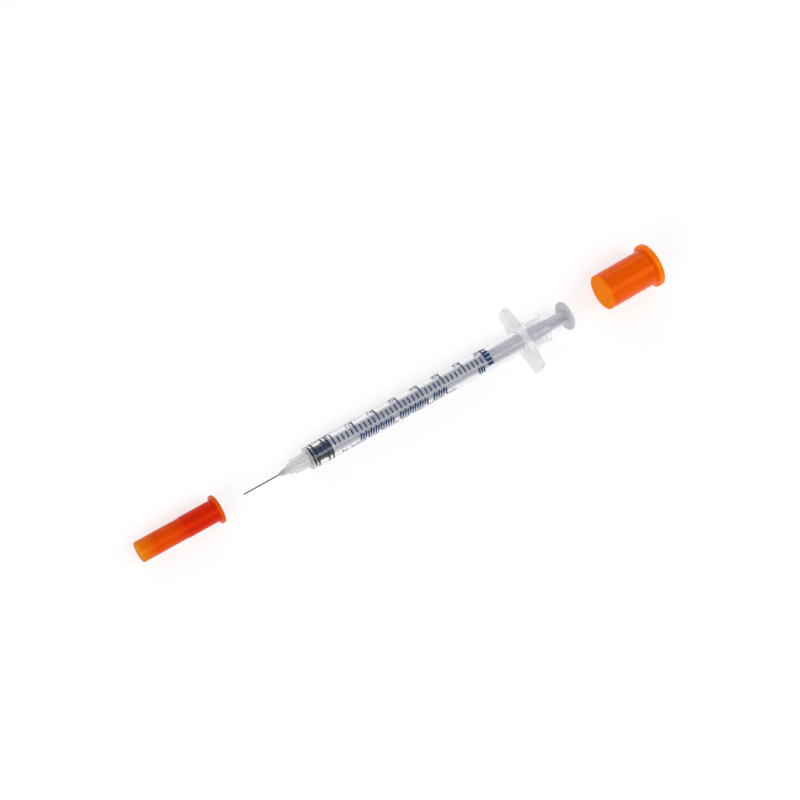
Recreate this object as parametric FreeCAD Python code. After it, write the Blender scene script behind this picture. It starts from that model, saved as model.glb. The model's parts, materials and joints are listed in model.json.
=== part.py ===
"""Insulin syringe of 1 ml with a 40 unit scale, a fixed needle and two pull-off caps.

Millimetres. The syringe lies on its side: +X runs along its axis from the needle to the
thumb disc, the finger flange spreads along Y, and +Z is up. The pieces are first made
about the syringe's axis, with x = 0 at the front of the bore, where the scale starts.
Then all of them move together, so that the origin is under the middle of the whole
set, on the surface that it lies on. Both caps are off, as they lie when the syringe is
ready for use. The plunger cap lies turned round, with its closed end to the thumb disc.
"""

import FreeCAD, Part
import math
import os

Vector = FreeCAD.Vector
AXIS = Vector(1, 0, 0)
SIDE = Vector(0, 1, 0)
CENTRE = Vector(0, 0, 0)

# Bore and scale: the full volume is in cubic millimetres
bore_d = 4.73
full_volume = 1000.0
barrel_beyond_full_mark = 12.0

# Barrel tube and its front wall
barrel_wall = 0.885
front_wall = 1.4
barrel_edge_round = 0.3
bore_corner_round = 0.15

# Nozzle in front of the barrel, with four stepped ribs that hold the needle shield
nozzle_length = 7.35
nozzle_root_d = 2.6
nozzle_tip_d = 1.8
rib_count = 4
rib_thickness = 0.6
rear_rib_d = 4.1
rear_rib_length = 4.7
front_rib_d = 3.0
front_rib_length = 1.9
rib_lead = 0.7

# Finger flange: two tapered wings with a flat above and below
flange_span = 20.0
flange_height = 9.2
flange_tip_height = 5.4
flange_flat = 3.9
flange_thickness = 1.6
flange_corner_round = 1.2
flange_edge_round = 0.3
flange_root_step = 0.8
flange_root_round = 0.4

# Collar behind the flange, where the plunger cap is pushed on
collar_d = 8.75
collar_length = 6.9
collar_wall = 0.85
collar_edge_round = 0.35
funnel_length = 2.6
funnel_depth = 5.9

# Needle and the adhesive that holds it
needle_d = 0.33
needle_bore_d = 0.17
needle_exposed = 12.7
needle_back = 0.6
needle_bevel = 13.0
needle_fit = 0.02
glue_well_d = 1.1
glue_well_depth = 1.5
glue_fit = 0.01
dome_base_d = 1.6
dome_tip_d = 0.5
dome_length = 1.7
dome_bulge_depth = 0.12

# Rubber stopper: nose, three sealing ribs, the waist between them and the head's socket
stopper_length = 5.5
stopper_fit = 0.03
waist_depth = 0.27
seal_width = 0.45
seal_lead = 0.12
seals_from_front = (0.5,)
seals_from_rear = (0.1, 1.4)

# Plunger rod: head in the stopper, backing disc, cross-shaped shaft and thumb disc
head_d = 2.6
head_length = 1.2
head_lead = 0.3
neck_d = 1.7
neck_length = 1.2
socket_fit = 0.04
backing_thickness = 0.7
rod_clearance = 0.2
rod_rib_thickness = 0.75
rod_turn = 56.6
rod_exposed = 7.2
thumb_inset = 0.05
thumb_thickness = 0.85
thumb_edge_round = 0.3
thumb_boss_d = 3.0
thumb_boss_length = 0.5

# Needle shield
shield_gap = 7.7
shield_fit = 0.04
shield_wall = 1.0
shield_step = 0.13
shield_grip_length = 10.55
shield_end = 1.6
shield_tip_clearance = 2.25
shield_flange_out = 0.98
shield_flange_thickness = 1.0
shield_seat_margin = 0.4
shield_edge_round = 0.3
shield_mouth_lead = 0.25

# Plunger cap
cap_gap = 12.8
cap_aside = 0.6
cap_fit = 0.05
cap_wall = 0.97
cap_end = 1.4
cap_depth_clearance = 1.3
cap_flange_out = 1.25
cap_flange_thickness = 1.5
cap_edge_round = 0.4
cap_mouth_lead = 0.3

# How far one solid runs into another that it is joined to, or past one that it cuts
overlap = 0.2

# How much of a side a rounded corner may take up, at most
corner_share = 0.45

# Radii that follow from the sizes above
bore_r = bore_d / 2
barrel_r = bore_r + barrel_wall
collar_r = collar_d / 2
needle_r = needle_d / 2
channel_r = needle_r + needle_fit
glue_well_r = glue_well_d / 2
seal_r = bore_r - stopper_fit
waist_r = seal_r - waist_depth
rod_r = bore_r - rod_clearance
thumb_r = collar_r - thumb_inset
shield_seat_r = rear_rib_d / 2 + shield_fit
shield_grip_r = shield_seat_r + shield_wall
shield_thin_r = shield_grip_r - shield_step
shield_flange_r = shield_grip_r + shield_flange_out
cap_bore_r = collar_r + cap_fit
cap_r = cap_bore_r + cap_wall
cap_flange_r = cap_r + cap_flange_out

# Places along the axis, from the needle to the plunger cap
scale_length = full_volume / (math.pi * bore_r ** 2)
nozzle_rear = -front_wall
nozzle_front = nozzle_rear - nozzle_length
needle_tip = nozzle_front - needle_exposed
shield_mouth = needle_tip - shield_gap
shield_depth = nozzle_length + needle_exposed + shield_tip_clearance
shield_closed = shield_mouth - shield_depth - shield_end
flange_front = scale_length + barrel_beyond_full_mark
flange_rear = flange_front + flange_thickness
collar_rear = flange_rear + collar_length
thumb_front = collar_rear + rod_exposed
thumb_rear = thumb_front + thumb_thickness
cap_closed = thumb_rear + cap_gap
cap_depth = thumb_rear - flange_rear + cap_depth_clearance
cap_length = cap_depth + cap_end

# The surface that everything lies on, below the syringe's axis
floor_z = -flange_height / 2


def rounded_corner(before, corner, after, radius):
    """Start, middle and end of the tangent arc that rounds a corner of an outline."""
    to_before = before - corner
    to_after = after - corner
    reach = corner_share * min(to_before.Length, to_after.Length)
    to_before.normalize()
    to_after.normalize()
    half_angle = to_before.getAngle(to_after) / 2
    radius = min(radius, reach * math.tan(half_angle))
    inward = to_before + to_after
    inward.normalize()
    run = radius / math.tan(half_angle)
    start = corner + to_before * run
    middle = corner + inward * (radius / math.sin(half_angle) - radius)
    end = corner + to_after * run
    return start, middle, end


def outline(corners):
    """Closed face through corners of (point, radius), rounded where radius isn't 0."""
    stretches = []
    for number, (corner, radius) in enumerate(corners):
        before = corners[number - 1][0]
        after = corners[(number + 1) % len(corners)][0]
        if radius > 0:
            stretches.append(rounded_corner(before, corner, after, radius))
        else:
            stretches.append((corner,))
    edges = []
    for number, stretch in enumerate(stretches):
        if len(stretch) == 3:
            edges.append(Part.Arc(*stretch).toShape())
        following = stretches[(number + 1) % len(stretches)][0]
        edges.append(Part.makeLine(stretch[-1], following))
    return Part.Face(Part.Wire(edges))


def turned(corners):
    """Solid turned about the axis, from corners of (x, r) or (x, r, rounding)."""
    profile = []
    for corner in corners:
        rounding = corner[2] if len(corner) == 3 else 0
        profile.append((Vector(corner[0], 0, corner[1]), rounding))
    return outline(profile).revolve(CENTRE, AXIS, 360)


def shaft(start, end, radius):
    """Plain round solid along the axis."""
    return Part.makeCylinder(radius, end - start, Vector(start, 0, 0), AXIS)


def nozzle_ribs():
    """The stepped ribs round the nozzle, each one a plate that starts inside its core."""
    root_r = glue_well_r + (nozzle_tip_d / 2 - glue_well_r) / 2
    step = nozzle_rear - rear_rib_length
    front = step - front_rib_length
    profile = [
        (Vector(front, 0, root_r), 0),
        (Vector(front + rib_lead, 0, front_rib_d / 2), 0),
        (Vector(step, 0, front_rib_d / 2), 0),
        (Vector(step, 0, rear_rib_d / 2), 0),
        (Vector(nozzle_rear + overlap, 0, rear_rib_d / 2), 0),
        (Vector(nozzle_rear + overlap, 0, root_r), 0),
    ]
    plate = outline(profile).extrude(SIDE * rib_thickness)
    plate.translate(SIDE * (-rib_thickness / 2))
    ribs = []
    for number in range(rib_count):
        rib = plate.copy()
        rib.rotate(CENTRE, AXIS, 360 * number / rib_count)
        ribs.append(rib)
    return ribs


def finger_flange():
    """Flange plate: wings that narrow to rounded tips, with a flat above and below."""
    tip_y = flange_span / 2
    tip_z = flange_tip_height / 2
    top_z = flange_height / 2
    quarter = [(tip_y, tip_z), (flange_flat / 2, top_z)]
    corners = []
    for side_y, side_z in ((1, 1), (-1, 1), (-1, -1), (1, -1)):
        points = quarter if side_y == side_z else quarter[::-1]
        for y, z in points:
            corners.append((Vector(flange_front, side_y * y, side_z * z), flange_corner_round))
    plate = outline(corners).extrude(AXIS * flange_thickness)
    rim = [edge for edge in plate.Edges if edge.BoundBox.XLength < overlap]
    return plate.makeFillet(flange_edge_round, rim)


def barrel():
    """Clear moulding: ribbed nozzle, tube, finger flange and rear collar."""
    flange_middle = (flange_front + flange_rear) / 2
    root_edge = barrel_r + flange_root_step
    outside = turned([
        (nozzle_front, 0),
        (nozzle_front, nozzle_tip_d / 2),
        (nozzle_rear, nozzle_root_d / 2),
        (nozzle_rear, barrel_r, barrel_edge_round),
        (flange_front, barrel_r, flange_root_round),
        (flange_front, root_edge),
        (flange_middle, root_edge),
        (flange_middle, collar_r),
        (collar_rear, collar_r, collar_edge_round),
        (collar_rear, 0),
    ])
    inner_r = collar_r - collar_wall
    funnel_end = collar_rear - funnel_depth
    core = turned([
        (nozzle_front - overlap, 0),
        (nozzle_front - overlap, glue_well_r),
        (nozzle_front + glue_well_depth, glue_well_r),
        (nozzle_front + glue_well_depth, channel_r),
        (0, channel_r),
        (0, bore_r, bore_corner_round),
        (funnel_end, bore_r),
        (funnel_end + funnel_length, inner_r),
        (collar_rear + overlap, inner_r),
        (collar_rear + overlap, 0),
    ])
    moulding = outside.fuse([finger_flange()] + nozzle_ribs()).removeSplitter()
    return moulding.cut(core)


def needle():
    """Hollow steel needle with its tip ground to a bevel that opens upwards."""
    back = -needle_back
    tube = shaft(needle_tip, back, needle_r)
    tube = tube.cut(shaft(needle_tip - overlap, back + overlap, needle_bore_d / 2))
    bevel_length = needle_d / math.tan(math.radians(needle_bevel))
    grind = outline([
        (Vector(needle_tip - overlap, 0, -needle_r - overlap * math.tan(math.radians(needle_bevel))), 0),
        (Vector(needle_tip + bevel_length, 0, needle_r), 0),
        (Vector(needle_tip + bevel_length, 0, needle_d), 0),
        (Vector(needle_tip - overlap, 0, needle_d), 0),
    ]).extrude(SIDE * needle_d * 2)
    grind.translate(SIDE * -needle_d)
    return tube.cut(grind)


def needle_adhesive():
    """Set adhesive: it fills the well in the nozzle and stands out as a small dome."""
    dome_front = nozzle_front - dome_length
    base = Vector(nozzle_front, 0, dome_base_d / 2)
    tip = Vector(dome_front, 0, dome_tip_d / 2)
    middle = (base + tip) * 0.5 + Vector(0, 0, dome_bulge_depth)
    well_bottom = nozzle_front + glue_well_depth - glue_fit
    plug_r = glue_well_r - glue_fit
    hole_r = needle_r + glue_fit
    corners = [
        base,
        Vector(nozzle_front, 0, plug_r),
        Vector(well_bottom, 0, plug_r),
        Vector(well_bottom, 0, hole_r),
        Vector(dome_front, 0, hole_r),
        tip,
    ]
    edges = [Part.makeLine(start, end) for start, end in zip(corners, corners[1:])]
    edges.append(Part.Arc(tip, middle, base).toShape())
    return Part.Face(Part.Wire(edges)).revolve(CENTRE, AXIS, 360)


def stopper():
    """Rubber stopper with sealing ribs round it and a socket that holds the rod's head."""
    starts = list(seals_from_front)
    starts += sorted(stopper_length - place - seal_width for place in seals_from_rear)
    corners = [(0, 0), (0, waist_r, seal_lead)]
    for start in starts:
        corners.append((start, waist_r))
        corners.append((start + seal_lead, seal_r))
        corners.append((start + seal_width - seal_lead, seal_r))
        corners.append((start + seal_width, waist_r))
    mouth_r = neck_d / 2 + socket_fit
    socket_r = head_d / 2 + socket_fit
    socket_rear = stopper_length - neck_length + socket_fit
    socket_front = socket_rear - head_length - 2 * socket_fit
    corners += [
        (stopper_length, waist_r, seal_lead),
        (stopper_length, mouth_r),
        (socket_rear, mouth_r),
        (socket_rear, socket_r),
        (socket_front, socket_r),
        (socket_front, 0),
    ]
    return turned(corners)


def plunger_rod():
    """Plunger rod: locking head, backing disc, cross-shaped shaft and thumb disc."""
    neck_front = stopper_length - neck_length
    head_front = neck_front - head_length
    backing_rear = stopper_length + backing_thickness
    front = turned([
        (head_front, 0),
        (head_front, head_d / 2, head_lead),
        (neck_front, head_d / 2),
        (neck_front, neck_d / 2),
        (stopper_length, neck_d / 2),
        (stopper_length, rod_r, seal_lead),
        (backing_rear, rod_r, seal_lead),
        (backing_rear, 0),
    ])
    rib_length = thumb_front - stopper_length
    rib = Part.makeBox(rib_length, rod_rib_thickness, 2 * rod_r)
    rib.translate(Vector(stopper_length, -rod_rib_thickness / 2, -rod_r))
    other_rib = rib.copy()
    other_rib.rotate(CENTRE, AXIS, 90)
    cross = rib.fuse(other_rib).common(shaft(stopper_length, thumb_front, rod_r))
    cross.rotate(CENTRE, AXIS, rod_turn)
    thumb = turned([
        (thumb_front - thumb_boss_length, 0),
        (thumb_front - thumb_boss_length, neck_d / 2),
        (thumb_front, thumb_boss_d / 2),
        (thumb_front, thumb_r, thumb_edge_round),
        (thumb_rear, thumb_r, thumb_edge_round),
        (thumb_rear, 0),
    ])
    return front.fuse([cross, thumb]).removeSplitter()


def needle_shield():
    """Orange shield: closed tube with a wider grip stretch and a flanged mouth."""
    grip_front = shield_mouth - shield_grip_length
    flange_back = shield_mouth - shield_flange_thickness
    seat_end = shield_mouth - rear_rib_length - shield_seat_margin
    inner_r = shield_thin_r - shield_wall
    floor = shield_closed + shield_end
    return turned([
        (shield_closed, 0),
        (shield_closed, shield_thin_r, shield_edge_round),
        (grip_front, shield_thin_r),
        (grip_front + shield_step, shield_grip_r),
        (flange_back, shield_grip_r),
        (flange_back, shield_flange_r, shield_edge_round),
        (shield_mouth, shield_flange_r, shield_edge_round),
        (shield_mouth, shield_seat_r + shield_mouth_lead),
        (shield_mouth - shield_mouth_lead, shield_seat_r),
        (seat_end, shield_seat_r),
        (seat_end - shield_step, inner_r),
        (floor, inner_r, shield_edge_round),
        (floor, 0),
    ])


def plunger_cap():
    """Orange plunger cap, lying on its side on its closed edge and its flange."""
    flange_back = cap_length - cap_flange_thickness
    cap = turned([
        (0, 0),
        (0, cap_r, cap_edge_round),
        (flange_back, cap_r),
        (flange_back, cap_flange_r, cap_edge_round),
        (cap_length, cap_flange_r, cap_edge_round),
        (cap_length, cap_bore_r + cap_mouth_lead),
        (cap_length - cap_mouth_lead, cap_bore_r),
        (cap_end, cap_bore_r, cap_edge_round),
        (cap_end, 0),
    ])
    lean = math.degrees(math.atan2(cap_flange_out, flange_back))
    cap.rotate(CENTRE, SIDE, -lean)
    cap.translate(Vector(cap_closed, cap_aside, 0))
    cap.translate(Vector(0, 0, floor_z - cap.optimalBoundingBox().ZMin))
    return cap


pieces = {
    "barrel": barrel(),
    "needle": needle(),
    "needle_adhesive": needle_adhesive(),
    "stopper": stopper(),
    "plunger_rod": plunger_rod(),
    "needle_shield": needle_shield(),
    "plunger_cap": plunger_cap(),
}

# The origin goes under the middle of the whole set, on the surface that it lies on
middle_x = (shield_closed + pieces["plunger_cap"].optimalBoundingBox().XMax) / 2
to_frame = Vector(-middle_x, 0, -floor_z)

os.makedirs("parts", exist_ok=True)
for name, shape in pieces.items():
    shape.translate(to_frame)
    shape.exportStep("parts/" + name + ".step")
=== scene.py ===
"""Insulin syringe with its needle shield and plunger cap off, dressed for a studio picture.

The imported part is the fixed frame, in metres: +X runs from the needle to the thumb disc,
the finger flange spreads along Y, and +Z is up. Every node of the part gets its finish
here, and the stopper's ribs are squeezed against the bore. The print on the barrel is
added: the graduation, its numbers and plain blocks of ink.
"""

import json
import math

import bmesh
import bpy
from mathutils import Matrix, Vector


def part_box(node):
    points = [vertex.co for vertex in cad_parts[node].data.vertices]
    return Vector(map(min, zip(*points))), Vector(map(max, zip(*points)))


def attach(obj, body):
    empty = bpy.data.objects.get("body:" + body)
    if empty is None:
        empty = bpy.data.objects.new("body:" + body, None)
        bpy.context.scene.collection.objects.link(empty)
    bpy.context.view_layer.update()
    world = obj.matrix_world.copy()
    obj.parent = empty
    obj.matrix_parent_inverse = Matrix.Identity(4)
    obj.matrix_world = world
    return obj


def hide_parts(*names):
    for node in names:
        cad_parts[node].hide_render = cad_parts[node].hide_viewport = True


bl_info = {
    "name": "Insulin Syringe",
    "version": (1, 0, 0),
    "blender": (4, 5, 0),
    "location": "3D View > Sidebar > Syringe",
    "description": "Dresses the insulin syringe, prints its scale and lights it",
    "category": "Object",
}

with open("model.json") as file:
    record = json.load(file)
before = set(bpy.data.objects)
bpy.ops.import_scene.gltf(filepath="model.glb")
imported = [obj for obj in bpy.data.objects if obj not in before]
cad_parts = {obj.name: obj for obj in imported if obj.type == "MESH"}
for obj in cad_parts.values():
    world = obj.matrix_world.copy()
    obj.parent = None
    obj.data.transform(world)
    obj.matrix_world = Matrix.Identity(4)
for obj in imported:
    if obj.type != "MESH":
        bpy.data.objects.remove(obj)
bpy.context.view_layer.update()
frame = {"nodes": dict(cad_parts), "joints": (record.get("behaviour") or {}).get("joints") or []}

MM = 0.001

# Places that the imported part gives: ends of the pieces, the axis and the plunger's travel
barrel_low, barrel_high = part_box("barrel")
stopper_low, stopper_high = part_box("stopper")
shield_low, shield_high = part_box("needle_shield")
axis_height = (barrel_low[2] + barrel_high[2]) / 2
zero_line = stopper_low[0]
collar_length = 6.9 * MM
flange_thickness = 1.6 * MM
flange_root_round = 0.4 * MM
flange_rear = barrel_high[0] - collar_length
flange_front = flange_rear - flange_thickness
bore_radius = 2.365 * MM
travel = {joint["name"]: joint["range_m"][1] for joint in frame["joints"]}

# Light that has met more surfaces than this goes straight on through the clear plastic
MOST_BOUNCES = 4

# Half the picture's side and the lens's focal length, both in pixels
HALF_PICTURE = 400
FOCAL_LENGTH = 1850


def linear(text):
    """Linear colour of a six-digit web colour, as Blender's colour sockets take it."""
    shades = [int(text[start:start + 2], 16) / 255 for start in (0, 2, 4)]
    return tuple(s / 12.92 if s <= 0.04045 else ((s + 0.055) / 1.055) ** 2.4 for s in shades)


def opaque(colour):
    """The colour with an alpha of 1."""
    return (*colour, 1.0)


def colour_setting(name, description, text):
    """Setting for a colour, from a six-digit web colour."""
    return bpy.props.FloatVectorProperty(
        name=name, description=description, default=linear(text),
        size=3, subtype="COLOR", min=0, max=1)


def length_setting(name, description, length):
    """Setting for a small length, in metres."""
    return bpy.props.FloatProperty(
        name=name, description=description, default=length,
        unit="LENGTH", subtype="DISTANCE", precision=6)


def angle_setting(name, description, degrees):
    """Setting for an angle, from degrees."""
    return bpy.props.FloatProperty(
        name=name, description=description, default=math.radians(degrees),
        unit="ROTATION", subtype="ANGLE")


def share_setting(name, description, share):
    """Setting for a share from 0 to 1."""
    return bpy.props.FloatProperty(
        name=name, description=description, default=share, min=0, max=1, subtype="FACTOR")


def power_setting(name, description, watts):
    """Setting for the power of a lamp."""
    return bpy.props.FloatProperty(
        name=name, description=description, default=watts, min=0, unit="POWER")


class SyringeFinish(bpy.types.PropertyGroup):
    """Colours and gloss of the moulded pieces, the rubber and the steel."""

    clear_tint: colour_setting("Clear Tint", "Tint of the clear barrel moulding", "F6F5F8")
    polish: share_setting("Polish", "Roughness of the polished tube and collar", 0.04)
    nozzle_tint: colour_setting("Nozzle Tint", "Colour of the frosted nozzle", "E4E4E5")
    frosted_tint: colour_setting("Frosted Tint", "Colour of the frosted finger flange", "F4F4F6")
    frosting: share_setting("Frosting", "Roughness of the frosted nozzle and flange", 0.4)
    frosted_clear_share: share_setting(
        "Frosted Clear Share", "How much light goes through the frosted parts", 0.6)
    rod_colour: colour_setting("Plunger Rod", "Colour of the plunger rod", "C5C6CC")
    rubber_colour: colour_setting("Stopper Rubber", "Colour of the rubber stopper", "060A22")
    adhesive_colour: colour_setting(
        "Adhesive", "Colour of the set adhesive round the needle", "D4D4D1")
    steel_colour: colour_setting("Needle Steel", "Colour of the drawn steel needle", "3A3A3E")
    # Painted light and shade: the shield's closed face, end and rim are lighter and its wall, seat
    # and grip deeper, standing in for how light falls on the one orange plastic and passes through
    # it
    shield_face: colour_setting(
        "Shield Face", "Orange of the face that closes the shield", "DC8418")
    shield_end: colour_setting("Shield End", "Orange of the shield's solid closed end", "E67804")
    shield_wall: colour_setting("Shield Wall", "Orange of the shield's thin wall", "E04600")
    shield_seat: colour_setting(
        "Shield Seat", "Orange of the shield's wall in front of its grip", "D82E00")
    shield_grip: colour_setting(
        "Shield Grip", "Orange of the shield's wider grip stretch", "D41E00")
    shield_rim: colour_setting("Shield Rim", "Orange of the shield's flanged mouth", "E25004")
    # Painted light and shade: the cap's end face and flanged rim are lighter and its wall deeper,
    # standing in for light falling on the end face and passing through the thin rim
    cap_end: colour_setting("Cap End", "Orange of the plunger cap's closed end", "F67E00")
    cap_wall: colour_setting("Cap Wall", "Orange of the plunger cap's wall", "EE5A00")
    cap_rim: colour_setting("Cap Rim", "Orange of the plunger cap's flanged mouth", "FC8000")
    cap_lean: angle_setting("Cap Lean", "How far the lying plunger cap's axis rises along X", 4.43)


class SyringePrint(bpy.types.PropertyGroup):
    """The print on the barrel. Angles go round the barrel from straight above its axis."""

    ink_colour: colour_setting("Ink", "Colour of the printing ink", "0A3A66")
    barrel_radius: length_setting(
        "Barrel Radius", "Outer radius of the tube that carries the print", 3.25 * MM)
    ink_lift: length_setting("Ink Lift", "Gap between the tube and the ink", 0.004 * MM)
    ink_thickness: length_setting("Ink Thickness", "Thickness of the ink", 0.02 * MM)
    units: bpy.props.IntProperty(
        name="Units", description="Units from the zero line to the full mark",
        default=40, min=1, max=200)
    units_per_number: bpy.props.IntProperty(
        name="Units per Number", description="Units from one long line to the next",
        default=5, min=1, max=50)
    zero_shift: length_setting(
        "Zero Shift", "How far the printed zero is off the front of the bore", -0.72 * MM)
    line_width: length_setting("Line Width", "Width of a graduation line", 0.42 * MM)
    lines_from: angle_setting("Lines from", "Angle where each line starts", -17)
    short_arc: angle_setting("Short Line", "Angle that a short line covers", 34)
    long_arc: angle_setting("Long Line", "Angle that a long line covers", 67)
    number_height: length_setting("Number Height", "Height of the numbers", 1.9 * MM)
    number_boldness: length_setting(
        "Number Boldness", "How far the strokes of the numbers are widened", 0.04 * MM)
    number_shift: length_setting(
        "Number Shift", "How far a number's middle is off its line", -0.7 * MM)
    numbers_from: angle_setting("Numbers from", "Angle of the foot of each number", 53)
    mark_pitch: bpy.props.FloatProperty(
        name="Mark Pitch", description="Units from one slanted mark to the next",
        default=0.5675, min=0.1, max=5)
    mark_width: length_setting("Mark Width", "Width of a slanted mark", 0.5 * MM)
    marks_from: angle_setting("Marks from", "Angle of the foot of the slanted marks", -65)
    mark_short_arc: angle_setting("Short Mark", "Angle that every other slanted mark covers", 30)
    mark_long_arc: angle_setting("Long Mark", "Angle that the slanted marks between them cover", 37)
    mark_slant: length_setting(
        "Mark Slant", "How far a mark runs along the barrel for each radian round it", 0.8 * MM)


class SyringeStage(bpy.types.PropertyGroup):
    """Camera, floor and light."""

    camera_from: bpy.props.FloatVectorProperty(
        name="Camera Direction", description="Direction from the syringe to the camera",
        default=(-0.339, -0.188, 0.922), size=3, subtype="DIRECTION")
    camera_distance: bpy.props.FloatProperty(
        name="Camera Distance", description="Distance from the syringe's axis to the camera",
        default=0.503, min=0.05, unit="LENGTH", subtype="DISTANCE")
    aim_along: length_setting("Aim Along", "Place on the axis that the camera looks at", -2.11 * MM)
    aim_above: length_setting(
        "Aim Above", "Distance of the picture's middle above the axis, across it", 1.82 * MM)
    axis_on_screen: angle_setting(
        "Axis on Screen", "Angle of the syringe's axis in the picture", 28.95)
    field_of_view: bpy.props.FloatProperty(
        name="Field of View", description="Angle that the square picture covers",
        default=2 * math.atan(HALF_PICTURE / FOCAL_LENGTH), unit="ROTATION", subtype="ANGLE")
    surround: bpy.props.FloatProperty(
        name="Surround", description="Brightness of the pale studio all round",
        default=0.53, min=0, max=5)
    strip_power: power_setting("Strip Light", "Power of the long soft light above the syringe", 2.0)
    key_power: power_setting("Key Light", "Power of the soft light at the needle end", 1.3)
    side_power: power_setting("Side Light", "Power of the long low light beyond the syringe", 0.7)
    floor_glow: bpy.props.FloatProperty(
        name="Floor Glow", description="How much the lit floor gives off by itself",
        default=0.6, min=0, max=2)


def finish_settings():
    return bpy.context.scene.syringe_finish


def print_settings():
    return bpy.context.scene.syringe_print


def stage_settings():
    return bpy.context.scene.syringe_stage


def put(nodes, kind, place=(0, 0), **values):
    """A new node with its plain settings."""
    node = nodes.new(kind)
    node.location = place
    for name, value in values.items():
        setattr(node, name, value)
    return node


def link(start, output, end, entry):
    """Joins an output of one node to an input of another, each by its name or number."""
    start.id_data.links.new(start.outputs[output], end.inputs[entry])


def new_material(name):
    """An empty material, with its tree and its output node."""
    material = bpy.data.materials.new(name)
    material.use_nodes = True
    tree = material.node_tree
    tree.nodes.clear()
    output = put(tree.nodes, "ShaderNodeOutputMaterial", (900, 0))
    return material, tree, output


def shader_group(name, inputs, outputs):
    """An empty shader node group with float inputs of (name, default) and float outputs."""
    tree = bpy.data.node_groups.new(name, "ShaderNodeTree")
    for label, default in inputs:
        socket = tree.interface.new_socket(label, in_out="INPUT", socket_type="NodeSocketFloat")
        socket.default_value = default
    for label in outputs:
        tree.interface.new_socket(label, in_out="OUTPUT", socket_type="NodeSocketFloat")
    start = put(tree.nodes, "NodeGroupInput", (-900, 0))
    end = put(tree.nodes, "NodeGroupOutput", (900, 0))
    return tree, start, end


def moulded_skin_group():
    """Skin of a moulding: soft waves with a fine grain, as a height and as a cloudy tone."""
    name = "Moulded Skin"
    if name in bpy.data.node_groups:
        return bpy.data.node_groups[name]
    inputs = [("Waves per Metre", 300.0), ("Grain per Metre", 4000.0), ("Grain Share", 0.3)]
    tree, start, end = shader_group(name, inputs, ["Height", "Tone"])
    nodes = tree.nodes
    place = put(nodes, "ShaderNodeTexCoord", (-900, -300))
    waves = put(nodes, "ShaderNodeTexNoise", (-500, 200))
    waves.inputs["Detail"].default_value = 2.0
    grain = put(nodes, "ShaderNodeTexNoise", (-500, -200))
    grain.inputs["Detail"].default_value = 3.0
    share = put(nodes, "ShaderNodeMix", (200, 0), data_type="FLOAT")
    link(place, "Object", waves, "Vector")
    link(place, "Object", grain, "Vector")
    link(start, "Waves per Metre", waves, "Scale")
    link(start, "Grain per Metre", grain, "Scale")
    link(start, "Grain Share", share, "Factor")
    link(waves, "Fac", share, "A")
    link(grain, "Fac", share, "B")
    link(share, "Result", end, "Height")
    link(waves, "Fac", end, "Tone")
    return tree


def place_along_group():
    """Share of the way along a piece, from 0 to 1. Rise is for an axis that climbs along X."""
    name = "Place Along"
    if name in bpy.data.node_groups:
        return bpy.data.node_groups[name]
    inputs = [("From", 0.0), ("To", 1.0), ("Rise", 0.0)]
    tree, start, end = shader_group(name, inputs, ["Share"])
    place = put(tree.nodes, "ShaderNodeTexCoord", (-900, -200))
    split = put(tree.nodes, "ShaderNodeSeparateXYZ", (-650, -200))
    lean = put(tree.nodes, "ShaderNodeMath", (-400, -200), operation="MULTIPLY_ADD")
    share = put(tree.nodes, "ShaderNodeMapRange", (0, 0), clamp=True)
    link(place, "Object", split, "Vector")
    link(split, "Z", lean, 0)
    link(start, "Rise", lean, 1)
    link(split, "X", lean, 2)
    link(lean, "Value", share, "Value")
    link(start, "From", share, "From Min")
    link(start, "To", share, "From Max")
    link(share, "Result", end, "Share")
    return tree


def set_inputs(node, values):
    """Sets a node's inputs by their names, with an underline for each space."""
    for label, value in values.items():
        node.inputs[label.replace("_", " ")].default_value = value


def principled(tree, **values):
    """A Principled shader in a material's tree, with its inputs set."""
    shader = put(tree.nodes, "ShaderNodeBsdfPrincipled", (400, 0))
    set_inputs(shader, values)
    return shader


def use_group(tree, group, place, **values):
    """A node of the shader group in a material's tree, with its inputs set."""
    node = put(tree.nodes, "ShaderNodeGroup", place, node_tree=group)
    set_inputs(node, values)
    return node


def between(tree, source, output, low, high, place=(0, 0)):
    """An output that runs from 0 to 1, stretched to run from low to high."""
    stretched = put(tree.nodes, "ShaderNodeMapRange", place)
    stretched.inputs["To Min"].default_value = low
    stretched.inputs["To Max"].default_value = high
    link(source, output, stretched, "Value")
    return stretched


def colour_steps(tree, place, steps):
    """A colour ramp through (share, colour) steps."""
    ramp = put(tree.nodes, "ShaderNodeValToRGB", place)
    elements = ramp.color_ramp.elements
    elements[0].position, elements[0].color = steps[0][0], opaque(steps[0][1])
    elements[1].position, elements[1].color = steps[-1][0], opaque(steps[-1][1])
    for share, colour in steps[1:-1]:
        element = elements.new(share)
        element.color = opaque(colour)
    return ramp


def add_bump(tree, skin, shader, strength, distance):
    """Bump of the moulded skin on the shader's normal."""
    bump = put(tree.nodes, "ShaderNodeBump", (200, -400))
    bump.inputs["Strength"].default_value = strength
    bump.inputs["Distance"].default_value = distance
    link(skin, "Height", bump, "Height")
    link(bump, "Normal", shader, "Normal")


def tint_by_tone(tree, skin, shader, colour, change):
    """Base colour, cloudy by the skin's tone: it goes from darker to lighter by change."""
    mix = put(tree.nodes, "ShaderNodeMix", (-200, 200), data_type="RGBA")
    mix.inputs["A"].default_value = opaque([c * (1 - change) for c in colour])
    mix.inputs["B"].default_value = opaque([min(1, c * (1 + change)) for c in colour])
    link(skin, "Tone", mix, "Factor")
    link(mix, "Result", shader, "Base Color")


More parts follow.
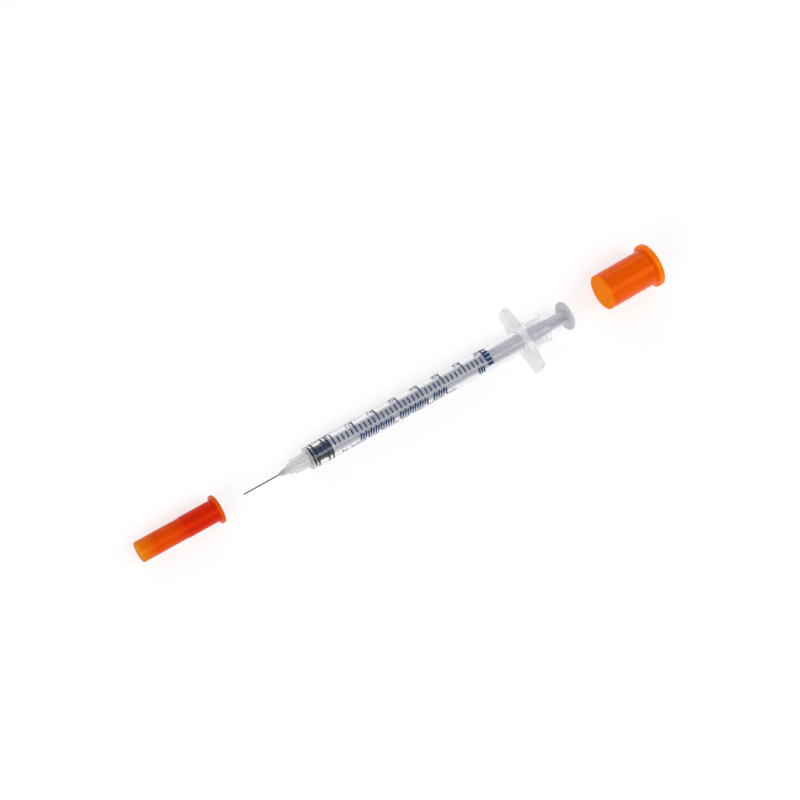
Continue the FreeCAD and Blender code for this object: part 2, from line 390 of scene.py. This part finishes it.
def let_lamps_through(tree, shader, output, share):
    """Lamps light what is inside the moulding, and light caught between its walls gets out."""
    rays = put(tree.nodes, "ShaderNodeLightPath", (400, 400))
    open_way = put(tree.nodes, "ShaderNodeBsdfTransparent", (400, -200))
    open_way.inputs["Color"].default_value = (share, share, share, 1)
    choice = put(tree.nodes, "ShaderNodeMixShader", (700, 0))
    caught = put(tree.nodes, "ShaderNodeMath", (400, 600), operation="GREATER_THAN")
    caught.inputs[1].default_value = MOST_BOUNCES + 0.5
    link(rays, "Ray Depth", caught, 0)
    straight_on = put(tree.nodes, "ShaderNodeMath", (550, 500), operation="MAXIMUM")
    link(rays, "Is Shadow Ray", straight_on, 0)
    link(caught, "Value", straight_on, 1)
    link(straight_on, "Value", choice, "Fac")
    link(shader, "BSDF", choice, 1)
    link(open_way, "BSDF", choice, 2)
    link(choice, "Shader", output, "Surface")


def clear_moulding(settings):
    """Polished clear plastic of the barrel's tube and collar."""
    material, tree, output = new_material("Clear Moulding")
    shader = principled(tree, Transmission_Weight=1.0, Roughness=settings.polish, IOR=1.5)
    skin = use_group(tree, moulded_skin_group(), (-500, 0), Waves_per_Metre=90, Grain_Share=0.1)
    tint_by_tone(tree, skin, shader, settings.clear_tint, change=0.015)
    let_lamps_through(tree, shader, output, share=0.85)
    return material


def frosted_moulding(name, tint, settings):
    """The same plastic where the mould leaves it milky: the nozzle and the finger flange."""
    material, tree, output = new_material(name)
    shader = principled(
        tree, Transmission_Weight=settings.frosted_clear_share, Roughness=settings.frosting,
        IOR=1.5)
    skin = use_group(tree, moulded_skin_group(), (-500, 0), Waves_per_Metre=500, Grain_Share=0.3)
    tint_by_tone(tree, skin, shader, tint, change=0.06)
    add_bump(tree, skin, shader, strength=0.4, distance=0.02 * MM)
    let_lamps_through(tree, shader, output, share=0.8)
    return material


def rod_plastic(settings):
    """Milky plastic of the plunger rod and its thumb disc."""
    material, tree, output = new_material("Plunger Plastic")
    shader = principled(
        tree, Roughness=0.32, Subsurface_Weight=0.25, Subsurface_Radius=(1.0, 0.9, 1.1),
        Subsurface_Scale=0.4 * MM)
    skin = use_group(tree, moulded_skin_group(), (-500, 0), Waves_per_Metre=350, Grain_Share=0.25)
    tint_by_tone(tree, skin, shader, settings.rod_colour, change=0.1)
    add_bump(tree, skin, shader, strength=0.3, distance=0.015 * MM)
    link(shader, "BSDF", output, "Surface")
    return material


def stopper_rubber(settings):
    """Black rubber with the thin film of silicone oil that stoppers carry."""
    material, tree, output = new_material("Stopper Rubber")
    shader = principled(tree, Coat_Weight=0.18, Coat_Roughness=0.32)
    skin = use_group(tree, moulded_skin_group(), (-500, 0), Waves_per_Metre=700, Grain_Share=0.5)
    tint_by_tone(tree, skin, shader, settings.rubber_colour, change=0.35)
    roughness = between(tree, skin, "Tone", low=0.38, high=0.55)
    link(roughness, "Result", shader, "Roughness")
    add_bump(tree, skin, shader, strength=0.3, distance=0.01 * MM)
    link(shader, "BSDF", output, "Surface")
    return material


def orange_plastic(name, start, end, rise, steps, gloss):
    """Orange cap plastic with painted light and shade: steps of lighter and deeper orange from
    start to end stand in for how light falls on and through the piece.
    """
    material, tree, output = new_material(name)
    shader = principled(
        tree, Metallic=0.06, Specular_IOR_Level=0.24, Specular_Tint=(1.0, 0.5, 0.12, 1),
        Subsurface_Weight=0.2, Subsurface_Radius=(1.0, 0.35, 0.1), Subsurface_Scale=0.6 * MM)
    # Painted light and shade: the colour steps follow the share of the way along the piece
    along = use_group(tree, place_along_group(), (-900, 200), From=start, To=end, Rise=rise)
    ramp = colour_steps(tree, (-600, 200), steps)
    link(along, "Share", ramp, "Fac")
    skin = use_group(tree, moulded_skin_group(), (-600, -200), Waves_per_Metre=220, Grain_Share=0.2)
    cloud = between(tree, skin, "Tone", low=0.9, high=1.08, place=(-300, -100))
    shaded = put(tree.nodes, "ShaderNodeVectorMath", (0, 200), operation="SCALE")
    link(ramp, "Color", shaded, 0)
    link(cloud, "Result", shaded, "Scale")
    link(shaded, "Vector", shader, "Base Color")
    roughness = between(tree, skin, "Tone", low=gloss, high=gloss + 0.08)
    # The flat face that closes the moulding comes out of the mould matt
    closed_share = 0.004
    matt_roughness = 0.9
    closed_face = put(tree.nodes, "ShaderNodeMath", (-300, -300), operation="LESS_THAN")
    closed_face.inputs[1].default_value = closed_share
    link(along, "Share", closed_face, 0)
    matt = put(tree.nodes, "ShaderNodeMath", (-100, -300), operation="MULTIPLY")
    matt.inputs[1].default_value = matt_roughness
    link(closed_face, "Value", matt, 0)
    rougher = put(tree.nodes, "ShaderNodeMath", (200, -100), operation="MAXIMUM")
    link(roughness, "Result", rougher, 0)
    link(matt, "Value", rougher, 1)
    link(rougher, "Value", shader, "Roughness")
    add_bump(tree, skin, shader, strength=0.3, distance=0.02 * MM)
    link(shader, "BSDF", output, "Surface")
    return material


def set_adhesive(settings):
    """Set adhesive: a glassy drop, slightly cloudy."""
    material, tree, output = new_material("Set Adhesive")
    shader = principled(tree, Transmission_Weight=0.5, Roughness=0.15)
    skin = use_group(tree, moulded_skin_group(), (-500, 0), Waves_per_Metre=900, Grain_Share=0.1)
    tint_by_tone(tree, skin, shader, settings.adhesive_colour, change=0.2)
    link(shader, "BSDF", output, "Surface")
    return material


def needle_steel(settings):
    """Drawn steel: fine scratches run along the needle."""
    material, tree, output = new_material("Needle Steel")
    shader = principled(tree, Metallic=1.0, Specular_Tint=(0.5, 0.5, 0.51, 1))
    place = put(tree.nodes, "ShaderNodeTexCoord", (-900, 0))
    drawn = put(tree.nodes, "ShaderNodeMapping", (-700, 0))
    drawn.inputs["Scale"].default_value = (400, 12000, 12000)
    scratches = put(tree.nodes, "ShaderNodeTexNoise", (-500, 0))
    scratches.inputs["Scale"].default_value = 1.0
    link(place, "Object", drawn, "Vector")
    link(drawn, "Vector", scratches, "Vector")
    mix = put(tree.nodes, "ShaderNodeMix", (0, 200), data_type="RGBA")
    change = 0.2
    mix.inputs["A"].default_value = opaque([c * (1 - change) for c in settings.steel_colour])
    mix.inputs["B"].default_value = opaque([c * (1 + change) for c in settings.steel_colour])
    link(scratches, "Fac", mix, "Factor")
    link(mix, "Result", shader, "Base Color")
    roughness = between(tree, scratches, "Fac", low=0.2, high=0.35)
    link(roughness, "Result", shader, "Roughness")
    link(shader, "BSDF", output, "Surface")
    return material


def printing_ink(settings):
    """Blue printing ink, a little uneven as pad printing leaves it."""
    if "Printing Ink" in bpy.data.materials:
        return bpy.data.materials["Printing Ink"]
    material, tree, output = new_material("Printing Ink")
    shader = principled(tree, Roughness=0.5, Specular_IOR_Level=0.2)
    skin = use_group(tree, moulded_skin_group(), (-500, 0), Waves_per_Metre=1800, Grain_Share=0.4)
    tint_by_tone(tree, skin, shader, settings.ink_colour, change=0.3)
    link(shader, "BSDF", output, "Surface")
    return material


def merged_copy(node):
    """Copy of a node's mesh with its corners merged, smooth but for its real edges."""
    shape = bmesh.new()
    shape.from_mesh(frame["nodes"][node].data)
    bmesh.ops.remove_doubles(shape, verts=shape.verts, dist=0.0005 * MM)
    mesh = bpy.data.meshes.new(node + "_copy")
    shape.to_mesh(mesh)
    shape.free()
    if "custom_normal" in mesh.attributes:
        mesh.attributes.remove(mesh.attributes["custom_normal"])
    mesh.shade_smooth()
    mesh.set_sharp_from_angle(angle=math.radians(32))
    return mesh


def dress(node, material):
    """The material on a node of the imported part."""
    for slot in frame["nodes"][node].material_slots:
        slot.material = material


def add_to_scene(name, mesh):
    """A new piece of the scene with this mesh."""
    piece = bpy.data.objects.new(name, mesh)
    bpy.context.scene.collection.objects.link(piece)
    return piece


def wrap_point(x, angle, lift, settings):
    """Place on the barrel at x, at an angle from straight above, lifted off the tube."""
    radius = settings.barrel_radius + settings.ink_lift + lift
    return Vector((x, radius * math.sin(angle), axis_height + radius * math.cos(angle)))


class SYRINGE_OT_barrel(bpy.types.Operator):
    """Gives the barrel its clear plastic, which is milky at the nozzle and the finger flange"""

    bl_idname = "syringe.barrel"
    bl_label = "Barrel"

    def execute(self, context):
        settings = finish_settings()
        mesh = merged_copy("barrel")
        mesh.materials.append(clear_moulding(settings))
        mesh.materials.append(frosted_moulding("Frosted Flange", settings.frosted_tint, settings))
        mesh.materials.append(frosted_moulding("Frosted Nozzle", settings.nozzle_tint, settings))
        clear, flange, nozzle = range(3)
        along_slack = 0.01 * MM
        across_slack = 0.005 * MM
        tube = print_settings().barrel_radius
        for face in mesh.polygons:
            x, y, z = face.center
            from_axis = math.hypot(y, z - axis_height)
            on_nozzle = x < zero_line - along_slack
            beside_flange = flange_front - flange_root_round < x < flange_rear + along_slack
            on_flange = beside_flange and from_axis > tube + across_slack
            face.material_index = nozzle if on_nozzle else flange if on_flange else clear
        piece = add_to_scene("barrel_moulding", mesh)
        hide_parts("barrel")
        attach(piece, "barrel")
        return {"FINISHED"}


class SYRINGE_OT_needle(bpy.types.Operator):
    """Gives the needle its drawn steel and its adhesive a glassy finish"""

    bl_idname = "syringe.needle"
    bl_label = "Needle and Adhesive"

    def execute(self, context):
        dress("needle", needle_steel(finish_settings()))
        dress("needle_adhesive", set_adhesive(finish_settings()))
        return {"FINISHED"}


class SYRINGE_OT_plunger(bpy.types.Operator):
    """Gives the plunger rod its milky plastic, and squeezes the rubber stopper into the bore"""

    bl_idname = "syringe.plunger"
    bl_label = "Plunger and Stopper"

    def execute(self, context):
        dress("plunger_rod", rod_plastic(finish_settings()))
        mesh = merged_copy("stopper")
        mesh.materials.append(stopper_rubber(finish_settings()))
        rib_crest = stopper_high[1] - 0.02 * MM
        squeezed_radius = bore_radius + 0.01 * MM
        squeezed_spread = 0.16 * MM
        for vert in mesh.vertices:
            x, y, z = vert.co
            radius = math.hypot(y, z - axis_height)
            if radius > rib_crest:
                swell = squeezed_radius / radius
                spread = math.copysign(squeezed_spread, vert.normal.x)
                vert.co = (x + spread, y * swell, axis_height + (z - axis_height) * swell)
        piece = add_to_scene("stopper_in_bore", mesh)
        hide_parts("stopper")
        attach(piece, "plunger")
        return {"FINISHED"}


class SYRINGE_OT_caps(bpy.types.Operator):
    """Gives the needle shield and the plunger cap their orange plastic, with painted light and
    shade along each
    """

    bl_idname = "syringe.caps"
    bl_label = "Needle Shield and Plunger Cap"

    def execute(self, context):
        settings = finish_settings()
        # Painted light and shade: colours by the share of the way from the closed end to the mouth
        shield_painted_shading_steps = [
            (0.0, settings.shield_face), (0.02, settings.shield_end),
            (0.2, settings.shield_wall), (0.36, settings.shield_wall),
            (0.545, settings.shield_seat), (0.565, settings.shield_grip),
            (0.945, settings.shield_grip), (0.96, settings.shield_rim),
        ]
        # Painted light on the cap's end face and rim, painted shade on its wall
        cap_painted_shading_steps = [
            (0.0, settings.cap_end), (0.012, settings.cap_end), (0.05, settings.cap_wall),
            (0.905, settings.cap_wall), (0.915, settings.cap_rim),
        ]
        rise = math.tan(settings.cap_lean)
        cap = frame["nodes"]["plunger_cap"].data
        places = [vert.co.x + rise * vert.co.z for vert in cap.vertices]
        dress("needle_shield", orange_plastic(
            "Shield Orange Painted Shading", shield_low[0], shield_high[0], 0.0, shield_painted_shading_steps, gloss=0.28))
        dress("plunger_cap", orange_plastic(
            "Cap Orange Painted Shading", min(places), max(places), rise, cap_painted_shading_steps, gloss=0.15))
        return {"FINISHED"}


def ink_row_tree():
    """Geometry Nodes tree: a row of printed lines, wrapped round the barrel."""
    tree = bpy.data.node_groups.new("Ink Row", "GeometryNodeTree")
    tree.is_modifier = True
    sockets = [
        ("Lines", "NodeSocketInt"), ("Lines per Number", "NodeSocketInt"),
        ("First Line", "NodeSocketFloat"), ("Spacing", "NodeSocketFloat"),
        ("Line Width", "NodeSocketFloat"), ("Ink Thickness", "NodeSocketFloat"),
        ("Radius", "NodeSocketFloat"), ("Axis Height", "NodeSocketFloat"),
        ("Start Angle", "NodeSocketFloat"), ("Short Arc", "NodeSocketFloat"),
        ("Long Arc", "NodeSocketFloat"), ("Turn per Line", "NodeSocketFloat"),
        ("Slant", "NodeSocketFloat"), ("Material", "NodeSocketMaterial"),
    ]
    tree.interface.new_socket("Geometry", in_out="INPUT", socket_type="NodeSocketGeometry")
    for label, kind in sockets:
        tree.interface.new_socket(label, in_out="INPUT", socket_type=kind)
    tree.interface.new_socket("Geometry", in_out="OUTPUT", socket_type="NodeSocketGeometry")
    nodes = tree.nodes
    start = put(nodes, "NodeGroupInput", (-1400, 0))
    end = put(nodes, "NodeGroupOutput", (1400, 0))

    # One line, flat: as wide as the ink, one unit long from its start, and as thick
    line_size = put(nodes, "ShaderNodeCombineXYZ", (-1100, -300))
    line_size.inputs["Y"].default_value = 1.0
    line = put(nodes, "GeometryNodeMeshCube", (-900, -300))
    line.inputs["Vertices X"].default_value = 2
    line.inputs["Vertices Y"].default_value = 13
    line.inputs["Vertices Z"].default_value = 2
    half_up = put(nodes, "ShaderNodeMath", (-1100, -500), operation="MULTIPLY")
    half_up.inputs[1].default_value = 0.5
    line_shift = put(nodes, "ShaderNodeCombineXYZ", (-900, -500))
    line_shift.inputs["Y"].default_value = 0.5
    from_start = put(nodes, "GeometryNodeTransform", (-700, -300))
    link(start, "Line Width", line_size, "X")
    link(start, "Ink Thickness", line_size, "Z")
    link(line_size, "Vector", line, "Size")
    link(start, "Ink Thickness", half_up, 0)
    link(half_up, "Value", line_shift, "Z")
    link(line, "Mesh", from_start, "Geometry")
    link(line_shift, "Vector", from_start, "Translation")

    # The places of the lines, on the X axis
    step = put(nodes, "ShaderNodeCombineXYZ", (-1100, 300))
    first = put(nodes, "ShaderNodeCombineXYZ", (-1100, 450))
    places = put(nodes, "GeometryNodeMeshLine", (-900, 300))
    link(start, "Spacing", step, "X")
    link(start, "Turn per Line", step, "Y")
    link(start, "First Line", first, "X")
    link(start, "Lines", places, "Count")
    link(first, "Vector", places, "Start Location")
    link(step, "Vector", places, "Offset")

    # One line in so many is long, and the length is an angle round the barrel
    index = put(nodes, "GeometryNodeInputIndex", (-1100, 700))
    turn = put(nodes, "FunctionNodeIntegerMath", (-900, 700), operation="MODULO")
    is_long = put(nodes, "FunctionNodeCompare", (-700, 700), data_type="INT", operation="EQUAL")
    arc = put(nodes, "GeometryNodeSwitch", (-500, 700), input_type="FLOAT")
    stretch = put(nodes, "ShaderNodeCombineXYZ", (-300, 700))
    stretch.inputs["X"].default_value = 1.0
    stretch.inputs["Z"].default_value = 1.0
    link(index, "Index", turn, 0)
    link(start, "Lines per Number", turn, 1)
    int_inputs = [socket for socket in is_long.inputs if socket.type == "INT"]
    tree.links.new(turn.outputs["Value"], int_inputs[0])
    int_inputs[1].default_value = 0
    link(is_long, "Result", arc, "Switch")
    link(start, "Short Arc", arc, "False")
    link(start, "Long Arc", arc, "True")
    link(arc, "Output", stretch, "Y")
    lines = put(nodes, "GeometryNodeInstanceOnPoints", (-400, 200))
    link(places, "Mesh", lines, "Points")
    link(from_start, "Geometry", lines, "Instance")
    link(stretch, "Vector", lines, "Scale")
    plain = put(nodes, "GeometryNodeRealizeInstances", (-150, 200))
    link(lines, "Instances", plain, "Geometry")

    # Wrapped round the barrel: Y is the angle from straight above, Z the lift off the tube
    position = put(nodes, "GeometryNodeInputPosition", (-400, -100))
    split = put(nodes, "ShaderNodeSeparateXYZ", (-200, -100))
    slanted = put(nodes, "ShaderNodeMath", (0, 0), operation="MULTIPLY_ADD")
    angle = put(nodes, "ShaderNodeMath", (0, -150), operation="ADD")
    radius = put(nodes, "ShaderNodeMath", (0, -300), operation="ADD")
    sine = put(nodes, "ShaderNodeMath", (200, -100), operation="SINE")
    cosine = put(nodes, "ShaderNodeMath", (200, -250), operation="COSINE")
    aside = put(nodes, "ShaderNodeMath", (400, -100), operation="MULTIPLY")
    above = put(nodes, "ShaderNodeMath", (400, -250), operation="MULTIPLY")
    height = put(nodes, "ShaderNodeMath", (600, -250), operation="ADD")
    place = put(nodes, "ShaderNodeCombineXYZ", (800, -100))
    wrap = put(nodes, "GeometryNodeSetPosition", (1000, 100))
    link(position, "Position", split, "Vector")
    link(split, "Y", slanted, 0)
    link(start, "Slant", slanted, 1)
    link(split, "X", slanted, 2)
    link(split, "Y", angle, 0)
    link(start, "Start Angle", angle, 1)
    link(split, "Z", radius, 0)
    link(start, "Radius", radius, 1)
    link(angle, "Value", sine, 0)
    link(angle, "Value", cosine, 0)
    link(sine, "Value", aside, 0)
    link(radius, "Value", aside, 1)
    link(cosine, "Value", above, 0)
    link(radius, "Value", above, 1)
    link(above, "Value", height, 0)
    link(start, "Axis Height", height, 1)
    link(slanted, "Value", place, "X")
    link(aside, "Value", place, "Y")
    link(height, "Value", place, "Z")
    link(plain, "Geometry", wrap, "Geometry")
    link(place, "Vector", wrap, "Position")
    inked = put(nodes, "GeometryNodeSetMaterial", (1200, 0))
    link(wrap, "Geometry", inked, "Geometry")
    link(start, "Material", inked, "Material")
    link(inked, "Geometry", end, "Geometry")
    return tree


def plain_mesh_of(piece):
    """The evaluated shape of a piece with a live Geometry Nodes modifier, as a plain mesh."""
    bpy.context.view_layer.update()
    graph = bpy.context.evaluated_depsgraph_get()
    return bpy.data.meshes.new_from_object(piece.evaluated_get(graph), depsgraph=graph)


def unit_place(units, settings):
    """Place along the barrel of a number of units on the printed scale."""
    return zero_line + settings.zero_shift + units * travel["plunger_slide"] / settings.units


def ink_row(settings, first, lines, pitch, width, angle, short_arc, long_arc,
            one_long_in=1, turn=0.0, slant=0.0):
    """Mesh of a row of lines: first and pitch in units of the scale, arcs from an angle on."""
    tree = bpy.data.node_groups.get("Ink Row") or ink_row_tree()
    piece = add_to_scene("ink_row", bpy.data.meshes.new("ink_row"))
    modifier = piece.modifiers.new("Ink Row", "NODES")
    modifier.node_group = tree
    values = {
        "Lines": lines,
        "Lines per Number": one_long_in,
        "First Line": unit_place(first, settings),
        "Spacing": unit_place(pitch, settings) - unit_place(0, settings),
        "Line Width": width,
        "Ink Thickness": settings.ink_thickness,
        "Radius": settings.barrel_radius + settings.ink_lift,
        "Axis Height": axis_height,
        "Start Angle": angle,
        "Short Arc": short_arc,
        "Long Arc": long_arc,
        "Turn per Line": turn,
        "Slant": slant,
        "Material": printing_ink(settings),
    }
    for item in tree.interface.items_tree:
        if item.item_type == "SOCKET" and item.in_out == "INPUT" and item.name in values:
            modifier[item.identifier] = values[item.name]
    mesh = plain_mesh_of(piece)
    if not mesh.polygons:
        raise RuntimeError("the tree for a row of ink made no lines")
    bpy.data.objects.remove(piece)
    return mesh


class SYRINGE_OT_graduation(bpy.types.Operator):
    """Prints the graduation lines round the barrel with Geometry Nodes"""

    bl_idname = "syringe.graduation"
    bl_label = "Graduation Lines"

    def execute(self, context):
        settings = print_settings()
        mesh = ink_row(
            settings, first=0, lines=settings.units + 1, pitch=1, width=settings.line_width,
            angle=settings.lines_from, short_arc=settings.short_arc, long_arc=settings.long_arc,
            one_long_in=settings.units_per_number)
        piece = add_to_scene("graduation_lines", mesh)
        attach(piece, "barrel")
        return {"FINISHED"}


class SYRINGE_OT_marks(bpy.types.Operator):
    """Prints plain blocks of ink, where such barrels carry print: bands, fine dashes and a ring"""

    bl_idname = "syringe.marks"
    bl_label = "Bands of Marks"

    def execute(self, context):
        settings = print_settings()
        meshes = []
        # Fields of slanted marks: the unit where each starts, and how many marks it has
        for first, lines in ((10.1, 14), (19.1, 12), (26.9, 6)):
            meshes.append(ink_row(
                settings, first, lines, settings.mark_pitch, settings.mark_width,
                settings.marks_from, settings.mark_short_arc, settings.mark_long_arc,
                one_long_in=2, slant=settings.mark_slant))
        # Groups of fine dashes in one row below them, with a dash left out after each group
        dash_first = 6.0
        dash_pitch = 0.5
        dash_arc = math.radians(18)
        short_share = 0.7
        for dashes in (3, 7, 5, 8, 4, 6, 8, 5):
            meshes.append(ink_row(
                settings, dash_first, dashes, dash_pitch, width=0.32 * MM,
                angle=math.radians(-80), short_arc=short_share * dash_arc, long_arc=dash_arc,
                one_long_in=3))
            dash_first += dash_pitch * (dashes + 1)
        # Three bars near the full mark, and a ring of blocks past it
        bar_arc = math.radians(36)
        meshes.append(ink_row(
            settings, first=37.8, lines=3, pitch=0.55, width=0.5 * MM,
            angle=math.radians(-66), short_arc=bar_arc, long_arc=bar_arc))
        block_arc = math.radians(15)
        meshes.append(ink_row(
            settings, first=40.6, lines=5, pitch=0, width=1.7 * MM, angle=math.radians(-45),
            short_arc=block_arc, long_arc=block_arc, turn=math.radians(22)))
        shapes = []
        for mesh in meshes:
            shape = bmesh.new()
            shape.from_mesh(mesh)
            shapes.append(shape)
        mesh = join_shapes("band_marks", shapes, printing_ink(settings))
        piece = add_to_scene("band_marks", mesh)
        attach(piece, "barrel")
        return {"FINISHED"}


def flat_number(text, height, thickness, boldness):
    """Flat mesh of a number in the XY plane, with its foot at y = 0 and centred on x = 0."""
    # Height of a digit where the font's size is 1
    digit_share = 0.72
    curve = bpy.data.curves.new("number", "FONT")
    curve.body = text
    curve.size = height / digit_share
    curve.extrude = thickness / 2
    curve.offset = boldness
    curve.align_x = "CENTER"
    writing = add_to_scene("number", curve)
    mesh = plain_mesh_of(writing)
    bpy.data.objects.remove(writing)
    shape = bmesh.new()
    shape.from_mesh(mesh)
    bpy.data.meshes.remove(mesh)
    bmesh.ops.remove_doubles(shape, verts=shape.verts, dist=0.001 * MM)
    bmesh.ops.translate(shape, verts=shape.verts, vec=(0, 0, thickness / 2))
    return shape


def cut_across(shape, low, high, cuts):
    """Cuts a flat shape along lines of constant y, so that it can bend round the barrel."""
    for number in range(1, cuts):
        y = low + (high - low) * number / cuts
        everything = shape.verts[:] + shape.edges[:] + shape.faces[:]
        bmesh.ops.bisect_plane(shape, geom=everything, plane_co=(0, y, 0), plane_no=(0, 1, 0))


def wrap_shape(shape, x, angle, settings):
    """Bends a flat shape round the barrel, with its foot at the angle and its middle at x."""
    for vert in shape.verts:
        turn = angle + vert.co.y / settings.barrel_radius
        vert.co = wrap_point(x + vert.co.x, turn, vert.co.z, settings)


def join_shapes(name, shapes, material):
    """One mesh out of several bmesh shapes, which are freed."""
    whole = bmesh.new()
    for shape in shapes:
        part = bpy.data.meshes.new("part")
        shape.to_mesh(part)
        shape.free()
        whole.from_mesh(part)
        bpy.data.meshes.remove(part)
    bmesh.ops.recalc_face_normals(whole, faces=whole.faces)
    mesh = bpy.data.meshes.new(name)
    whole.to_mesh(mesh)
    whole.free()
    mesh.materials.append(material)
    return mesh


class SYRINGE_OT_numbers(bpy.types.Operator):
    """Prints the plain numbers of the scale at the ends of the long lines"""

    bl_idname = "syringe.numbers"
    bl_label = "Scale Numbers"

    def execute(self, context):
        settings = print_settings()
        shapes = []
        step = settings.units_per_number
        for value in range(step, settings.units + 1, step):
            shape = flat_number(
                str(value), settings.number_height, settings.ink_thickness,
                settings.number_boldness)
            cut_across(shape, low=0, high=settings.number_height, cuts=8)
            place = unit_place(value, settings) + settings.number_shift
            wrap_shape(shape, place, settings.numbers_from, settings)
            shapes.append(shape)
        mesh = join_shapes("scale_numbers", shapes, printing_ink(settings))
        piece = add_to_scene("scale_numbers", mesh)
        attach(piece, "barrel")
        return {"FINISHED"}


class SYRINGE_OT_stage(bpy.types.Operator):
    """Sets up the floor, the soft studio light and the camera"""

    bl_idname = "syringe.stage"
    bl_label = "Stage"

    def execute(self, context):
        settings = stage_settings()
        self.floor(settings)
        self.light(context.scene, settings)
        self.camera(context.scene, settings)
        context.scene.view_settings.view_transform = "Standard"
        return {"FINISHED"}

    def floor(self, settings):
        """Plain white floor that is lit from below as a light table is."""
        half = 3.0
        shade = 0.45
        corners = [(-half, -half, 0), (half, -half, 0), (half, half, 0), (-half, half, 0)]
        mesh = bpy.data.meshes.new("floor")
        mesh.from_pydata(corners, [], [(0, 1, 2, 3)])
        material, tree, output = new_material("Pale Floor")
        shader = principled(
            tree, Roughness=0.9, Specular_IOR_Level=0.0, Base_Color=(shade, shade, shade, 1),
            Emission_Color=(1, 1, 1, 1), Emission_Strength=settings.floor_glow)
        link(shader, "BSDF", output, "Surface")
        mesh.materials.append(material)
        add_to_scene("floor", mesh)

    def light(self, scene, settings):
        """Pale studio all round, long lights above and beyond, and a soft one at the needle."""
        world = bpy.data.worlds.new("Studio")
        world.use_nodes = True
        studio = world.node_tree.nodes["Background"]
        studio.inputs["Color"].default_value = (1, 1, 1, 1)
        studio.inputs["Strength"].default_value = settings.surround
        scene.world = world
        # Each lamp's name, its place, where along the axis it points, its size and its power
        lamps = [
            ("strip_light", Vector((0.25, -0.37, 0.64)), 0.25, (0.8, 0.4), settings.strip_power),
            ("side_light", Vector((0.25, 0.62, 0.25)), 0.25, (1.0, 0.12), settings.side_power),
            ("key_light", Vector((-0.55, -0.2, 0.4)), 0.0, (0.35, 0.35), settings.key_power),
        ]
        for name, place, aim, size, power in lamps:
            lamp = bpy.data.lights.new(name, "AREA")
            lamp.shape = "RECTANGLE"
            lamp.size, lamp.size_y = size
            lamp.energy = power
            outwards = (place - Vector((aim, 0, axis_height))).normalized()
            across = Vector((0, 1, 0)).cross(outwards).normalized()
            axes = Matrix((across, outwards.cross(across), outwards)).transposed().to_4x4()
            light = bpy.data.objects.new(name, lamp)
            light.matrix_world = Matrix.Translation(place) @ axes
            scene.collection.objects.link(light)

    def camera(self, scene, settings):
        """Camera that sees the syringe's axis climb to the right of the picture."""
        towards = Vector(settings.camera_from).normalized()
        along = Vector((1, 0, 0))
        along = (along - towards * along.dot(towards)).normalized()
        across = towards.cross(along)
        turn = settings.axis_on_screen
        right = along * math.cos(turn) - across * math.sin(turn)
        up = along * math.sin(turn) + across * math.cos(turn)
        aim = Vector((settings.aim_along, 0, axis_height)) + across * settings.aim_above
        lens = bpy.data.cameras.new("camera")
        lens.angle = settings.field_of_view
        lens.clip_start = 0.01
        camera = bpy.data.objects.new("camera", lens)
        axes = Matrix((right, up, towards)).transposed().to_4x4()
        camera.matrix_world = Matrix.Translation(aim + towards * settings.camera_distance) @ axes
        scene.collection.objects.link(camera)
        scene.camera = camera


class SYRINGE_PT_build(bpy.types.Panel):
    """Lists the syringe's settings and the steps that dress it"""

    bl_idname = "SYRINGE_PT_build"
    bl_label = "Insulin Syringe"
    bl_space_type = "VIEW_3D"
    bl_region_type = "UI"
    bl_category = "Syringe"

    def draw(self, context):
        layout = self.layout
        for settings in (finish_settings(), print_settings(), stage_settings()):
            box = layout.box()
            for name in settings.bl_rna.properties.keys():
                if name not in ("rna_type", "name"):
                    box.prop(settings, name)
        for operator in operators:
            layout.operator(operator.bl_idname)


operators = (
    SYRINGE_OT_barrel,
    SYRINGE_OT_needle,
    SYRINGE_OT_plunger,
    SYRINGE_OT_caps,
    SYRINGE_OT_graduation,
    SYRINGE_OT_marks,
    SYRINGE_OT_numbers,
    SYRINGE_OT_stage,
)
classes = (SyringeFinish, SyringePrint, SyringeStage) + operators + (SYRINGE_PT_build,)


def register():
    for each in classes:
        bpy.utils.register_class(each)
    bpy.types.Scene.syringe_finish = bpy.props.PointerProperty(type=SyringeFinish)
    bpy.types.Scene.syringe_print = bpy.props.PointerProperty(type=SyringePrint)
    bpy.types.Scene.syringe_stage = bpy.props.PointerProperty(type=SyringeStage)


def unregister():
    del bpy.types.Scene.syringe_stage
    del bpy.types.Scene.syringe_print
    del bpy.types.Scene.syringe_finish
    for each in reversed(classes):
        bpy.utils.unregister_class(each)


def main():
    """Runs every step in order."""
    register()
    for operator in operators:
        group, name = operator.bl_idname.split(".")
        getattr(getattr(bpy.ops, group), name)()


if __name__ == "__main__":
    main()
